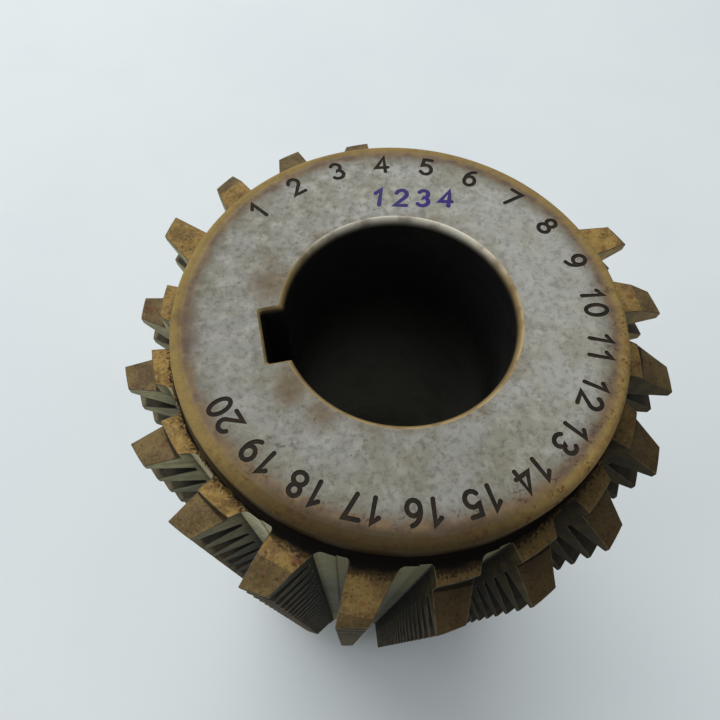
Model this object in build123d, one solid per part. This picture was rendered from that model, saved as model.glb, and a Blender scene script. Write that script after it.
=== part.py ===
"""Gear hob: one solid cutter with three right-hand thread starts, straight gashes and a keyed bore.

Frame: millimetres and degrees, +Z along the bore, origin at the centre of the lower hub face,
keyway on the -X side. Angles run counter-clockwise seen from above.
"""
from build123d import *
from math import acos, atan2, cos, degrees, pi, radians, sin, tan
import os

os.makedirs("parts", exist_ok=True)

# Thread: the rack that the teeth stand on
MODULE = 2.54
PRESSURE_ANGLE = 20.0
LEAD_ANGLE = 4.7
STARTS = 3
ADDENDUM = 1.25 * MODULE
WHOLE_DEPTH = 2.5 * MODULE

# Body
LENGTH = 200.0
HUB_RADIUS = 39.0
HUB_HEIGHT = 6.1
HUB_RIM_ROUND = 1.5
HUB_FOOT_EASE = 0.6

# Bore and keyway
BORE_RADIUS = 20.0
BORE_CHAMFER_DEPTH = 1.75
BORE_CHAMFER_WIDTH = 0.9
BEARING_LENGTH = 40.0
RECESS_DEPTH = 0.8
KEYWAY_WIDTH = 10.1
KEYWAY_DEPTH = 3.5
KEYWAY_CORNER = 0.6
KEYWAY_CHAMFER = 0.4

# Gashes: a radial cutting face, an inclined heel and a two-level floor between them
GASHES = 20
FIRST_CUTTING_FACE = 138.0
LAND_ANGLE = 5.6
FLOOR_ANGLE = 7.04
RELIEF = 2.7
END_RELIEF = 1.0
GASH_BELOW_ROOT = 3.12
GROUND_FLOOR_STEP = 0.2
GROUND_FLOOR_ANGLE = 3.0
HEEL_FILLET = 1.5
CUTTING_FACE_CHAMFER = 0.4

# Worked out from the driving dimensions
AXIAL_PITCH = pi * MODULE / cos(radians(LEAD_ANGLE))
LEAD = STARTS * AXIAL_PITCH
PITCH_RADIUS = STARTS * MODULE / (2 * sin(radians(LEAD_ANGLE)))
TIP_RADIUS = PITCH_RADIUS + ADDENDUM
ROOT_RADIUS = TIP_RADIUS - WHOLE_DEPTH
FLANK_RISE = tan(radians(PRESSURE_ANGLE)) / cos(radians(LEAD_ANGLE))
CREST_WIDTH = AXIAL_PITCH / 2 - 2 * ADDENDUM * FLANK_RISE
GASH_STEP = 360.0 / GASHES
GASH_FLOOR_RADIUS = ROOT_RADIUS - GASH_BELOW_ROOT
GROUND_FLOOR_RADIUS = GASH_FLOOR_RADIUS - GROUND_FLOOR_STEP
KEYWAY_FLOOR = BORE_RADIUS + KEYWAY_DEPTH
BOTTOM_PLANE = HUB_HEIGHT
TOP_PLANE = LENGTH - HUB_HEIGHT

# Overlaps that the booleans trim away
OVERRUN = 4.0
BLANK_RADIUS = TIP_RADIUS + OVERRUN
CORE_HEIGHT = 1.4
ROW_OVERLAP = 0.4
CORE_RADIUS = GASH_FLOOR_RADIUS + CORE_HEIGHT
ROW_BASE_RADIUS = CORE_RADIUS - ROW_OVERLAP

# Steps in which the heel corners of a relieved surface are closed in on
RELIEF_PASSES = 8


def polar(radius, angle):
    """Point of the XY plane at a radius and an angle in degrees."""
    return radius * cos(radians(angle)), radius * sin(radians(angle))


# The heel face is a plane parallel to the bore. Seen from above it is the line from the trailing
# corner of the tip to the gash floor. It is held here as the line's distance from the axis and the
# angle of that shortest radius.
HEEL_TIP = polar(TIP_RADIUS - RELIEF * LAND_ANGLE / GASH_STEP, LAND_ANGLE)
HEEL_FOOT = polar(GASH_FLOOR_RADIUS, GASH_STEP - FLOOR_ANGLE)
HEEL_NORMAL = 90.0 + degrees(atan2(HEEL_TIP[1] - HEEL_FOOT[1], HEEL_TIP[0] - HEEL_FOOT[0]))
HEEL_DISTANCE = (
    HEEL_TIP[0] * cos(radians(HEEL_NORMAL)) + HEEL_TIP[1] * sin(radians(HEEL_NORMAL))
)


def heel_angle(radius):
    """Angle behind the cutting face at which the heel face stands at a radius."""
    return HEEL_NORMAL - degrees(acos(HEEL_DISTANCE / radius))


def row_point(radius, relief, at_heel):
    """Plan position of a row's corner, with the row's cutting face along +X.

    The radius is the one at the cutting face. At the heel the backed-off surface is lower by the
    relief that it has lost over that angle.
    """
    if not at_heel:
        return polar(radius, 0.0)
    angle = heel_angle(radius)
    for _ in range(RELIEF_PASSES):
        angle = heel_angle(radius - relief * angle / GASH_STEP)
    return polar(radius - relief * angle / GASH_STEP, angle)


def flank_height(point, side):
    """Height of a flank above its crest edge's height at the cutting face.

    A flank is the plane through the rack's straight flank in the cutting face and the crest edge,
    which climbs by the lead towards the heel. The side is 1 above the crest and -1 below it.
    """
    climb = LEAD * LAND_ANGLE / 360.0
    tilt = (climb - side * (TIP_RADIUS - HEEL_TIP[0]) * FLANK_RISE) / HEEL_TIP[1]
    return side * (TIP_RADIUS - point[0]) * FLANK_RISE + tilt * point[1]


def comb_corners(crest_tops, at_heel):
    """Corners of one face of a row: rack teeth from the top end plane down, closed at the base."""
    above = TOP_PLANE + OVERRUN
    below = BOTTOM_PLANE - OVERRUN
    base = row_point(ROW_BASE_RADIUS, 0.0, at_heel)
    end_root = row_point(ROOT_RADIUS, END_RELIEF, at_heel)
    root = row_point(ROOT_RADIUS, RELIEF, at_heel)
    tip = row_point(TIP_RADIUS, RELIEF, at_heel)
    corners = [(*base, above), (*end_root, above)]
    for crest_top in crest_tops:
        crest_bottom = crest_top - CREST_WIDTH
        upper = end_root if crest_top == crest_tops[0] else root
        lower = end_root if crest_top == crest_tops[-1] else root
        corners += [
            (*upper, crest_top + flank_height(upper, 1)),
            (*tip, crest_top + flank_height(tip, 1)),
            (*tip, crest_bottom + flank_height(tip, -1)),
            (*lower, crest_bottom + flank_height(lower, -1)),
        ]
    corners += [(*end_root, below), (*base, below)]
    return [Vector(*corner) for corner in corners]


def crest_tops_of(row):
    """Heights of the crest tops of a row at its cutting face, from the top down.

    The thread climbs counter-clockwise. Row 0 starts flush with the top end plane, and each row
    keeps only the teeth that are whole between the two end planes.
    """
    gap = (-STARTS * row) % GASHES * LEAD / (STARTS * GASHES)
    highest = TOP_PLANE - gap
    count = int((highest - CREST_WIDTH - BOTTOM_PLANE) // AXIAL_PITCH) + 1
    return [highest - turn * AXIAL_PITCH for turn in range(count)]


def polygon(corners):
    """Flat face through a closed run of corners."""
    return Face(Wire.make_polygon(corners, close=True))


def tooth_row(row):
    """One straight row of teeth between two gashes, backed off from cutting face to heel."""
    crest_tops = crest_tops_of(row)
    front = comb_corners(crest_tops, at_heel=False)
    back = comb_corners(crest_tops, at_heel=True)
    sides = [
        polygon([front[i - 1], front[i], back[i], back[i - 1]])
        for i in range(len(front))
    ]
    shell = Shell([polygon(front), polygon(back), *sides])
    return Rot(Z=FIRST_CUTTING_FACE + row * GASH_STEP) * Solid(shell)


def gash_outline():
    """Section of one gash, from the heel of row 0 round its floor to the next cutting face."""
    step_angle = GASH_STEP - GROUND_FLOOR_ANGLE
    heel_out = polar(BLANK_RADIUS, heel_angle(BLANK_RADIUS))
    step_top = polar(GASH_FLOOR_RADIUS, step_angle)
    step_bottom = polar(GROUND_FLOOR_RADIUS, step_angle)
    face_foot = polar(GROUND_FLOOR_RADIUS, GASH_STEP)
    face_out = polar(BLANK_RADIUS, GASH_STEP)
    floor_middle = polar(GASH_FLOOR_RADIUS, (GASH_STEP - FLOOR_ANGLE + step_angle) / 2)
    ground_middle = polar(GROUND_FLOOR_RADIUS, GASH_STEP - GROUND_FLOOR_ANGLE / 2)
    outline = [
        Line(heel_out, HEEL_FOOT),
        ThreePointArc(HEEL_FOOT, floor_middle, step_top),
        Line(step_top, step_bottom),
        ThreePointArc(step_bottom, ground_middle, face_foot),
        Line(face_foot, face_out),
        Line(face_out, heel_out),
    ]
    gash = make_face(outline)
    gash = fillet(gash.vertices().sort_by_distance(Vector(*HEEL_FOOT))[0], HEEL_FILLET)
    return chamfer(gash.vertices().sort_by_distance(Vector(*face_foot))[0], CUTTING_FACE_CHAMFER)


def gashed_core():
    """Solid core with the bottoms of all gashes, under the teeth."""
    gash = gash_outline()
    section = Circle(CORE_RADIUS)
    for row in range(GASHES):
        section -= Rot(Z=FIRST_CUTTING_FACE + row * GASH_STEP) * gash
    return extrude(section, LENGTH)


def envelope():
    """Turned shape that bounds the hob: hubs, end planes of the teeth, and the recessed bore.

    The rim's round is made of two narrow cones, and the hub's foot is eased by one.
    """
    rim = HUB_RADIUS - HUB_RIM_ROUND
    diagonal = sin(radians(45.0))
    recess = BORE_RADIUS + RECESS_DEPTH
    half_profile = Polyline(
        (BORE_RADIUS, BORE_CHAMFER_DEPTH),
        (BORE_RADIUS + BORE_CHAMFER_WIDTH, 0),
        (rim, 0),
        (rim + HUB_RIM_ROUND * diagonal, HUB_RIM_ROUND * (1 - diagonal)),
        (HUB_RADIUS, HUB_RIM_ROUND),
        (HUB_RADIUS, HUB_HEIGHT - HUB_FOOT_EASE),
        (HUB_RADIUS + HUB_FOOT_EASE, HUB_HEIGHT),
        (BLANK_RADIUS, HUB_HEIGHT),
        (BLANK_RADIUS, LENGTH / 2),
        (recess, LENGTH / 2),
        (recess, BEARING_LENGTH + RECESS_DEPTH),
        (BORE_RADIUS, BEARING_LENGTH),
        close=True,
    )
    half = revolve(Plane.XZ * make_face(half_profile), Axis.Z)
    return half + mirror(half, Plane.XY.offset(LENGTH / 2))


def keyway():
    """Slot along the whole bore, with its edges broken at both hub faces."""
    reach = KEYWAY_FLOOR / 2
    slot = Pos(-reach - KEYWAY_FLOOR / 4, 0) * Rectangle(reach, KEYWAY_WIDTH)
    floor_corners = slot.vertices().sort_by(Axis.X)[:2]
    slot = fillet(floor_corners, KEYWAY_CORNER)
    flare = offset(slot, KEYWAY_CHAMFER)
    opening = loft([Pos(0, 0, LENGTH) * flare, Pos(0, 0, LENGTH - KEYWAY_CHAMFER) * slot])
    return extrude(slot, LENGTH) + opening + mirror(opening, Plane.XY.offset(LENGTH / 2))


def gear_hob():
    """The whole cutter."""
    rows = [tooth_row(row) for row in range(GASHES)]
    blank = gashed_core() + rows
    return (blank & envelope()) - keyway()


hob = gear_hob()
hob.label = "gear_hob"
export_step(hob, "parts/gear_hob.step")
print("volume mm3", round(hob.volume, 1), "solids", len(hob.solids()), "faces", len(hob.faces()))
print("tip diameter", round(2 * TIP_RADIUS, 3), "lead", round(LEAD, 4), "box", hob.bounding_box())
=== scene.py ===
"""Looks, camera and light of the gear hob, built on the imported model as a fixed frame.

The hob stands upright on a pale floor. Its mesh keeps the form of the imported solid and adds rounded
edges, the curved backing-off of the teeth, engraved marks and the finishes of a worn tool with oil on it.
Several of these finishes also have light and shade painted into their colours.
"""
import logging
import math
from dataclasses import dataclass, field
from enum import Enum

import bmesh
import bpy
from mathutils import Matrix, Vector
from mathutils.geometry import delaunay_2d_cdt, tessellate_polygon


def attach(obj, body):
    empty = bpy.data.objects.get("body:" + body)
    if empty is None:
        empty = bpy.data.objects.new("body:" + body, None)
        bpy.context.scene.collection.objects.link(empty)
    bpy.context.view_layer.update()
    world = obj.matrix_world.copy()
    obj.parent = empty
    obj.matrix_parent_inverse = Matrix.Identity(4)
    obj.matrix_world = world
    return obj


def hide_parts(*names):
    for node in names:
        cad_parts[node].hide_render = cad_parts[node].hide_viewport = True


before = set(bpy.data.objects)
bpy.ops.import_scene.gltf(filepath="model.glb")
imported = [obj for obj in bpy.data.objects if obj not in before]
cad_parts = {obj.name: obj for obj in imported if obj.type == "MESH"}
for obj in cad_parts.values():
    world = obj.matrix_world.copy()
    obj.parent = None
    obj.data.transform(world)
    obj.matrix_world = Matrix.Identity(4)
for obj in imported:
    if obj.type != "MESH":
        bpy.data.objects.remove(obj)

logging.basicConfig(level=logging.INFO, format="%(message)s")
log = logging.getLogger("hob")

MM = 0.001
# Distances in millimetres: points of a row and of the whole mesh that count as one, and a plane's tolerance.
ROW_WELD = 1e-5
WHOLE_WELD = 2e-4
ON_PLANE = 1e-4
Point2 = tuple[float, float]
Point3 = tuple[float, float, float]
Run = list[tuple[float, float]]


def polar(radius: float, angle: float) -> Point2:
    """Point of the XY plane at a radius and an angle in degrees."""
    return radius * math.cos(math.radians(angle)), radius * math.sin(math.radians(angle))


def turned(point: Point2, angle: float) -> Point2:
    """A point of the XY plane, turned about the axis by an angle in degrees."""
    c, s = math.cos(math.radians(angle)), math.sin(math.radians(angle))
    return point[0] * c - point[1] * s, point[0] * s + point[1] * c


def spread(first: float, last: float, steps: int) -> list[float]:
    """Evenly spaced values from the first to the last."""
    return [first + (last - first) * i / steps for i in range(steps + 1)]


def arc(x: float, y: float, wide: float, high: float, first: float, last: float, steps: int) -> Run:
    """Points of an elliptic arc.

    Args:
        x, y: its centre.
        wide, high: its half axes.
        first, last: angles at its ends, in degrees.
        steps: number of its chords.

    Returns:
        The points in order.
    """
    angles = [math.radians(angle) for angle in spread(first, last, steps)]
    return [(x + wide * math.cos(a), y + high * math.sin(a)) for a in angles]


def circle(radius: float, steps: int) -> Run:
    """Closed run of points round the axis."""
    return [polar(radius, 360.0 * i / steps) for i in range(steps)]


def put_in_scene(name: str, data: bpy.types.ID) -> bpy.types.Object:
    """A new object of the scene."""
    made = bpy.data.objects.new(name, data)
    bpy.context.scene.collection.objects.link(made)
    return made


class Zone(Enum):
    """Surfaces of the hob that have a finish of their own, in the order of the material slots."""

    FACE = 0
    RIM = 1
    END = 2
    THREAD = 3
    CUTTING = 4
    HEEL = 5
    FLOOR = 6
    BORE = 7
    ENGRAVED = 8
    INK = 9
    BORE_EDGE = 10
    WORN_EDGE = 11
    END_FLANK = 12


@dataclass(frozen=True)
class ThreadForm:
    """Rack profile and helix that the teeth stand on, in millimetres and degrees."""

    module: float = 2.54
    pressure_angle: float = 20.0
    lead_angle: float = 4.7
    starts: int = 3
    addendum: float = 1.25

    @property
    def axial_pitch(self) -> float:
        """Distance between neighbouring teeth of a row."""
        return math.pi * self.module / math.cos(math.radians(self.lead_angle))

    @property
    def lead(self) -> float:
        """Rise of one start in a full turn."""
        return self.starts * self.axial_pitch

    @property
    def tip_radius(self) -> float:
        """Radius of the crests at the cutting face."""
        pitch_radius = self.starts * self.module / (2 * math.sin(math.radians(self.lead_angle)))
        return pitch_radius + self.addendum * self.module

    @property
    def root_radius(self) -> float:
        """Radius of the roots at the cutting face."""
        return self.tip_radius - 2 * self.addendum * self.module

    @property
    def flank_rise(self) -> float:
        """Axial run of a flank for each millimetre of tooth height."""
        return math.tan(math.radians(self.pressure_angle)) / math.cos(math.radians(self.lead_angle))

    @property
    def crest_width(self) -> float:
        """Axial width of a crest."""
        return self.axial_pitch / 2 - 2 * self.addendum * self.module * self.flank_rise


@dataclass(frozen=True)
class BodyForm:
    """Turned body of the hob: hubs, bore and keyway."""

    length: float = 200.0
    hub_radius: float = 39.0
    hub_height: float = 6.1
    rim_round: float = 1.5
    rim_flat: float = 0.35
    foot_ease: float = 0.6
    bore_radius: float = 20.0
    chamfer_depth: float = 1.75
    chamfer_width: float = 0.9
    bearing_length: float = 40.0
    recess_depth: float = 0.8
    keyway_width: float = 10.1
    keyway_depth: float = 3.5
    keyway_corner: float = 0.6
    keyway_chamfer: float = 0.4
    round_steps: int = 288
    ease_steps: int = 4
    rim_steps: int = 8

    @property
    def planes(self) -> tuple[float, float]:
        """Heights of the lower and the upper end plane of the teeth."""
        return self.hub_height, self.length - self.hub_height


@dataclass(frozen=True)
class GashForm:
    """Gashes between the rows: a radial cutting face, an inclined heel and a two-level floor."""

    thread: ThreadForm = ThreadForm()
    count: int = 20
    first_cutting_face: float = 138.0
    land_angle: float = 5.6
    floor_angle: float = 7.04
    relief: float = 2.7
    end_relief: float = 1.0
    below_root: float = 3.12
    ground_step: float = 0.2
    ground_angle: float = 3.0
    heel_fillet: float = 1.5
    corner_fillet: float = 0.4
    core_height: float = 1.0
    heel_steps: int = 6
    floor_steps: int = 3
    corner_steps: int = 4
    rounds: int = 8

    @property
    def step(self) -> float:
        """Angle from one cutting face to the next."""
        return 360.0 / self.count

    @property
    def floor_radius(self) -> float:
        """Radius of the gash floor."""
        return self.thread.root_radius - self.below_root

    @property
    def base_radius(self) -> float:
        """Radius at which a row of teeth joins the core."""
        return self.floor_radius + self.core_height

    @property
    def heel_line(self) -> tuple[float, float]:
        """The heel seen from above: angle of its shortest radius, and that radius."""
        tip_drop = self.relief * self.land_angle / self.step
        tip = polar(self.thread.tip_radius - tip_drop, self.land_angle)
        foot = polar(self.floor_radius, self.step - self.floor_angle)
        normal = 90.0 + math.degrees(math.atan2(tip[1] - foot[1], tip[0] - foot[0]))
        unit = polar(1.0, normal)
        return normal, tip[0] * unit[0] + tip[1] * unit[1]

    def heel_angle(self, radius: float) -> float:
        """Angle behind the cutting face at which the heel stands at a radius."""
        normal, distance = self.heel_line
        return normal - math.degrees(math.acos(distance / radius))

    def backed_off(self, radius: float, relief: float, share: float) -> tuple[float, float]:
        """Follows a backed-off surface from the cutting face towards the heel.

        Args:
            radius: radius of the surface at the cutting face.
            relief: how much the surface loses over one step.
            share: 0 at the cutting face, 1 at the heel.

        Returns:
            Angle behind the cutting face, and radius there.
        """
        angle = self.heel_angle(radius)
        for _ in range(self.rounds):
            angle = self.heel_angle(radius - relief * angle / self.step)
        angle *= share
        return angle, radius - relief * angle / self.step

    def outline(self) -> list[tuple[Point2, Zone]]:
        """Section of one gash, from the heel of row 0 to the next cutting face.

        Returns:
            Corners in order, each with the zone of the strip that starts there.
        """
        normal, distance = self.heel_line
        floor, ground = self.floor_radius, self.floor_radius - self.ground_step
        big, small = self.heel_fillet, self.corner_fillet
        heel_end = normal - math.degrees(math.acos((distance + big) / (floor + big)))
        ground_start = self.step - self.ground_angle
        ground_end = self.step - math.degrees(math.asin(small / (ground + small)))
        bottom = [
            *arc(*polar(floor + big, heel_end), big, big, 180.0 + normal, 180.0 + heel_end, self.heel_steps),
            *(polar(floor, angle) for angle in spread(heel_end, ground_start, self.floor_steps)[1:]),
            *(polar(ground, angle) for angle in spread(ground_start, ground_end, self.floor_steps)),
        ]
        first, last = 180.0 + ground_end, 90.0 + self.step
        corner = arc(*polar(ground + small, ground_end), small, small, first, last, self.corner_steps)
        return [
            (polar(self.base_radius, self.heel_angle(self.base_radius)), Zone.HEEL),
            *((point, Zone.FLOOR) for point in bottom),
            *((point, Zone.CUTTING) for point in corner[1:]),
            (polar(self.base_radius, self.step), Zone.CUTTING),
        ]


@dataclass
class HobMesh:
    """A mesh in the making, in millimetres."""

    bm: bmesh.types.BMesh = field(default_factory=bmesh.new)

    def verts(self, points: list[Point3]) -> list[bmesh.types.BMVert]:
        """Adds points."""
        return [self.bm.verts.new(point) for point in points]

    def face(self, verts: list[bmesh.types.BMVert], zone: Zone) -> None:
        """Adds a face between points."""
        self.bm.faces.new(verts).material_index = zone.value

    def loft(self, lower: list[Point3], upper: list[Point3], zone: Zone, closed: bool = True) -> None:
        """Adds quads between two runs of points of the same length.

        Args:
            lower: first run.
            upper: second run.
            zone: finish of the quads.
            closed: whether the last point joins the first.
        """
        low, up = self.verts(lower), self.verts(upper)
        count = len(low)
        for i in range(count if closed else count - 1):
            j = (i + 1) % count
            self.face([low[i], low[j], up[j], up[i]], zone)

    def add(self, other: bmesh.types.BMesh) -> None:
        """Adds the faces of another mesh in the making, and frees it."""
        carrier = bpy.data.meshes.new("carrier")
        other.to_mesh(carrier)
        other.free()
        self.bm.from_mesh(carrier)
        bpy.data.meshes.remove(carrier)


@dataclass
class ToothRow:
    """One straight row of backed-off teeth between two gashes."""

    row: int
    thread: ThreadForm
    gash: GashForm
    body: BodyForm
    across: int = 5
    overrun: float = 4.0

    def crest_tops(self) -> list[float]:
        """Heights of the crest tops at the cutting face, from the top down."""
        thread, count = self.thread, self.gash.count
        bottom, top = self.body.planes
        highest = top - (-thread.starts * self.row) % count * (thread.lead / (thread.starts * count))
        room = highest - thread.crest_width - bottom
        return [highest - i * thread.axial_pitch for i in range(int(room // thread.axial_pitch) + 1)]

    def crest_point(self, share: float, edge: float) -> Point3:
        """Point of a crest edge.

        Args:
            share: 0 at the cutting face, 1 at the heel.
            edge: height of the crest edge at the cutting face.

        Returns:
            The point, for a row whose cutting face stands at angle 0.
        """
        angle, radius = self.gash.backed_off(self.thread.tip_radius, self.gash.relief, share)
        return *polar(radius, angle), edge + self.thread.lead * angle / 360.0

    def root_point(self, share: float, relief: float, edge: float, side: int) -> Point3:
        """Point of a root line at the foot of a flank, or at a fixed height where the side is 0.

        Args:
            share: 0 at the cutting face, 1 at the heel.
            relief: what the root loses over one step.
            edge: height of the crest edge at the cutting face, or the fixed height.
            side: 1 above the crest, -1 below it.

        Returns:
            The point, for a row whose cutting face stands at angle 0.
        """
        angle, radius = self.gash.backed_off(self.thread.root_radius, relief, share)
        if side == 0:
            return *polar(radius, angle), edge
        tip_here = self.thread.tip_radius - self.gash.relief * angle / self.gash.step
        run = (tip_here - radius) * self.thread.flank_rise
        return *polar(radius, angle), edge + self.thread.lead * angle / 360.0 + side * run

    def comb(self, share: float) -> list[Point3]:
        """Outer side of the row's section at a share of the way to the heel, from above to below."""
        (bottom, top), tops, end_relief = self.body.planes, self.crest_tops(), self.gash.end_relief
        points = [self.root_point(share, end_relief, top + self.overrun, 0)]
        for crest in tops:
            foot = crest - self.thread.crest_width
            upper = end_relief if crest == tops[0] else self.gash.relief
            lower = end_relief if crest == tops[-1] else self.gash.relief
            points += [
                self.root_point(share, upper, crest, 1), self.crest_point(share, crest),
                self.crest_point(share, foot), self.root_point(share, lower, foot, -1),
            ]
        return [*points, self.root_point(share, end_relief, bottom - self.overrun, 0)]

    def build(self) -> bmesh.types.BMesh:
        """Makes the row, cut off at both end planes, open along its base.

        Returns:
            The row in place, in millimetres.
        """
        part = HobMesh()
        combs = [self.comb(share) for share in spread(0.0, 1.0, self.across)]
        above, below = combs[0][0][2], combs[0][-1][2]
        base = self.gash.base_radius
        front, back = (base, 0.0), polar(base, self.gash.heel_angle(base))
        for foot, comb, zone in ((front, combs[0], Zone.CUTTING), (back, combs[-1], Zone.HEEL)):
            part.face(part.verts([(*foot, above), *comb, (*foot, below)]), zone)
        last = len(combs[0]) - 1
        for near, far in zip(combs, combs[1:]):
            part.loft(near[:3], far[:3], Zone.END_FLANK, closed=False)
            part.loft(near[2:last - 1], far[2:last - 1], Zone.THREAD, closed=False)
            part.loft(near[last - 2:], far[last - 2:], Zone.END_FLANK, closed=False)
        bm = part.bm
        bmesh.ops.remove_doubles(bm, verts=bm.verts, dist=ROW_WELD)
        bottom, top = self.body.planes
        self.cut(bm, top, 1, front, back)
        self.cut(bm, bottom, -1, front, back)
        turn = math.radians(self.gash.first_cutting_face + self.row * self.gash.step)
        bmesh.ops.rotate(bm, cent=(0, 0, 0), matrix=Matrix.Rotation(turn, 3, "Z"), verts=bm.verts)
        return bm

    @staticmethod
    def cut(bm: bmesh.types.BMesh, height: float, side: int, front: Point2, back: Point2) -> None:
        """Cuts the row off at an end plane and closes the cut.

        Args:
            bm: the row.
            height: height of the plane.
            side: 1 to take away what is above, -1 what is below.
            front: foot of the cutting face, seen from above.
            back: foot of the heel, seen from above.
        """
        bmesh.ops.bisect_plane(
            bm, geom=[*bm.verts, *bm.edges, *bm.faces], dist=ROW_WELD,
            plane_co=(0, 0, height), plane_no=(0, 0, side), clear_outer=True,
        )
        rim = [e for e in bm.edges if all(abs(v.co.z - height) < ON_PLANE for v in e.verts)]
        ends = [min(bm.verts, key=lambda v, p=p: (v.co - Vector((*p, height))).length) for p in (front, back)]
        rim.append(bm.edges.get(ends) or bm.edges.new(ends))
        for made in bmesh.ops.edgeloop_fill(bm, edges=rim)["faces"]:
            made.material_index = Zone.END.value


@dataclass
class GashedCore:
    """Core under the teeth: the bottoms of the gashes and the rings of both end planes."""

    gash: GashForm
    body: BodyForm

    def build(self, mesh: HobMesh) -> None:
        """Adds the gash strips and the end rings to the mesh."""
        outline = self.gash.outline()
        low, high = self.body.planes
        ring: Run = []
        for row in range(self.gash.count):
            angle = self.gash.first_cutting_face + row * self.gash.step
            points = [(turned(p, angle), zone) for p, zone in outline]
            for (here, zone), (there, _) in zip(points, points[1:]):
                mesh.face(mesh.verts([(*here, low), (*there, low), (*there, high), (*here, high)]), zone)
            ring += [p for p, _ in points]
        hub = circle(self.body.hub_radius + self.body.foot_ease, self.body.round_steps)
        for height in (low, high):
            loops = [[Vector((*p, height)) for p in loop] for loop in (ring, hub)]
            verts = mesh.verts([*loops[0], *loops[1]])
            for triangle in tessellate_polygon(loops):
                mesh.face([verts[i] for i in triangle], Zone.END)


@dataclass
class Hub:
    """One plain hub with its rounded rim, at the upper or the lower end."""

    body: BodyForm
    upper: bool

    def build(self, mesh: HobMesh) -> Run:
        """Adds foot, side and rim to the mesh.

        Returns:
            The inner edge of the rim, which bounds the hub's face.
        """
        body = self.body
        ease, rounding = body.foot_ease, body.rim_round
        rim = body.hub_radius - rounding - body.rim_flat
        levels = [
            *arc(body.hub_radius + ease, body.hub_height - ease, ease, ease, 90.0, 180.0, body.ease_steps),
            *arc(body.hub_radius - rounding, rounding, rounding, rounding, 0.0, -90.0, body.rim_steps),
            (rim, 0.0),
        ]
        runs = []
        for radius, depth in levels:
            height = body.length - depth if self.upper else depth
            runs.append([(*point, height) for point in circle(radius, body.round_steps)])
        for lower, upper in zip(runs, runs[1:]):
            mesh.loft(lower, upper, Zone.RIM)
        return circle(rim, body.round_steps)


@dataclass
class Bore:
    """Through bore with its chamfers, middle recess and keyway."""

    body: BodyForm
    arc_steps: int = 240
    corner_steps: int = 4
    edge_steps: int = 8

    def outline(self, radius: float, flare: float) -> Run:
        """Section of bore and keyway.

        Args:
            radius: radius of the bore at this level.
            flare: how far the keyway is opened at its edges here.

        Returns:
            Closed run of points.
        """
        body = self.body
        half = body.keyway_width / 2 + flare
        floor = body.bore_radius + body.keyway_depth + flare
        turn = body.keyway_corner
        start = math.degrees(math.asin(half / radius)) - 180.0
        points = [polar(radius, angle) for angle in spread(start, -start, self.arc_steps)]
        corner = arc(turn - floor, half - turn, turn, turn, 90.0, 180.0, self.corner_steps)
        return points + corner + [(x, -y) for x, y in reversed(corner)]

    def build(self, mesh: HobMesh) -> Run:
        """Adds the wall to the mesh.

        Returns:
            The outline in the hub faces.
        """
        body = self.body
        chamfered = body.bore_radius + body.chamfer_width
        deep, wide = body.chamfer_depth, body.chamfer_width
        edge = arc(deep, chamfered, deep, wide, 180.0, 270.0, self.edge_steps)
        half = [(depth, radius, max(0.0, body.keyway_chamfer - depth)) for depth, radius in edge]
        half += [
            (body.bearing_length, body.bore_radius, 0.0),
            (body.bearing_length + body.recess_depth, body.bore_radius + body.recess_depth, 0.0),
        ]
        levels = half + [(body.length - z, r, f) for z, r, f in reversed(half)]
        runs = [[(*p, z) for p in self.outline(r, f)] for z, r, f in levels]
        for i, (lower, upper) in enumerate(zip(runs, runs[1:])):
            at_end = min(i, len(runs) - 2 - i) < self.edge_steps
            mesh.loft(lower, upper, Zone.BORE_EDGE if at_end else Zone.BORE)
        return self.outline(chamfered, body.keyway_chamfer)


def numeral(digit: str) -> list[Run]:
    """Pen strokes of a plain digit in a box 0.6 wide and 1 high, each an open or closed run of points."""
    shapes = {
        "0": [arc(0.3, 0.5, 0.28, 0.5, 90, 450, 20)],
        "1": [[(0.1, 0.76), (0.36, 1.0), (0.36, 0.0)]],
        "2": [arc(0.3, 0.72, 0.27, 0.28, 165, -35, 10) + [(0.02, 0.0), (0.6, 0.0)]],
        "3": [arc(0.28, 0.75, 0.25, 0.25, 150, -80, 9) + arc(0.28, 0.26, 0.29, 0.26, 80, -150, 10)],
        "4": [[(0.46, 0.0), (0.46, 1.0), (0.0, 0.3), (0.62, 0.3)]],
        "5": [[(0.54, 1.0), (0.12, 1.0), (0.07, 0.57)] + arc(0.28, 0.32, 0.29, 0.32, 125, -150, 11)],
        "6": [
            arc(0.3, 0.31, 0.27, 0.31, 165, -195, 14),
            [(0.035, 0.36)] + arc(0.5, 0.4, 0.47, 0.6, 170, 100, 6),
        ],
        "7": [[(0.0, 1.0), (0.6, 1.0), (0.22, 0.0)]],
        "8": [arc(0.3, 0.76, 0.23, 0.24, -90, 270, 14), arc(0.3, 0.26, 0.28, 0.26, 90, 450, 14)],
        "9": [
            arc(0.3, 0.69, 0.27, 0.31, -15, 345, 14),
            [(0.565, 0.64)] + arc(0.1, 0.6, 0.47, 0.6, -10, -80, 6),
        ],
    }
    return shapes[digit]


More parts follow.
